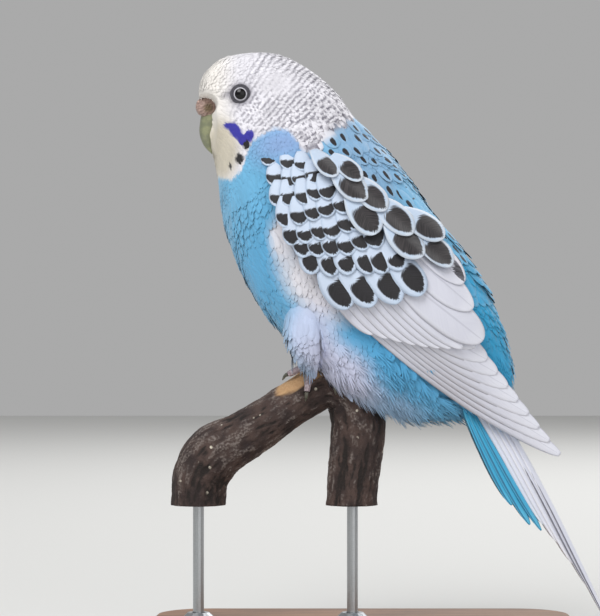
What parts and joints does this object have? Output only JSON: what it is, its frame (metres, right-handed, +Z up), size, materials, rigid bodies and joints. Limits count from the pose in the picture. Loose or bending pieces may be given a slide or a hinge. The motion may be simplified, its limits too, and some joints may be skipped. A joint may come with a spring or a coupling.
{
  "type": "budgerigar figure on a display stand",
  "caption": "Life-size budgerigar gripping a short forked length of branch, in a still pose, held over a plain flat display base by slim rods.",
  "frame": {"origin": "centre of the underside of the stand's base, on the floor", "axes": "+Z up, the bird faces -X, and its left side is towards -Y"},
  "size_m": [0.1246, 0.076, 0.1607],
  "materials": {
    "white_feathers": "soft matte plumage, white with fine grey bars",
    "blue_feathers": "soft matte sky-blue plumage",
    "barred_feathers": "blackish feathers with pale edges",
    "wing_feathers": "satin white flight feathers",
    "tail_feathers": "satin white and turquoise tail feathers",
    "cere_skin": "fine wrinkled skin",
    "bill_horn": "satin horn",
    "eye": "wet black eye with a pale iris",
    "foot_skin": "scaly matte skin",
    "claw_horn": "satin dark horn",
    "bark": "rough matte bark",
    "stand_wood": "satin varnished wood",
    "stand_metal": "brushed satin metal"
  },
  "bodies": {
    "root": {"abdomen": "blue_feathers", "bill_lower": "bill_horn", "bill_upper": "bill_horn", "cere": "cere_skin", "claw_left_inner_back": "claw_horn", "claw_left_inner_front": "claw_horn", "claw_left_outer_back": "claw_horn", "claw_left_outer_front": "claw_horn", "claw_right_inner_back": "claw_horn", "claw_right_inner_front": "claw_horn", "claw_right_outer_back": "claw_horn", "claw_right_outer_front": "claw_horn", "eye_left": "eye", "eye_right": "eye", "foot_left": "foot_skin", "foot_right": "foot_skin", "head": "white_feathers", "neck": "white_feathers", "perch_left_limb": "bark", "perch_limb": "bark", "perch_right_limb": "bark", "stand_base": "stand_wood", "stand_collar_left": "stand_metal", "stand_collar_right": "stand_metal", "stand_rod_left": "stand_metal", "stand_rod_right": "stand_metal", "tail": "tail_feathers", "thigh_left": "white_feathers", "thigh_right": "white_feathers", "torso": "blue_feathers", "wing_left_coverts": "barred_feathers", "wing_left_primaries": "wing_feathers", "wing_left_scapulars": "barred_feathers", "wing_left_secondaries": "wing_feathers", "wing_right_coverts": "barred_feathers", "wing_right_primaries": "wing_feathers", "wing_right_scapulars": "barred_feathers", "wing_right_secondaries": "wing_feathers"}
  },
  "joints": []
}
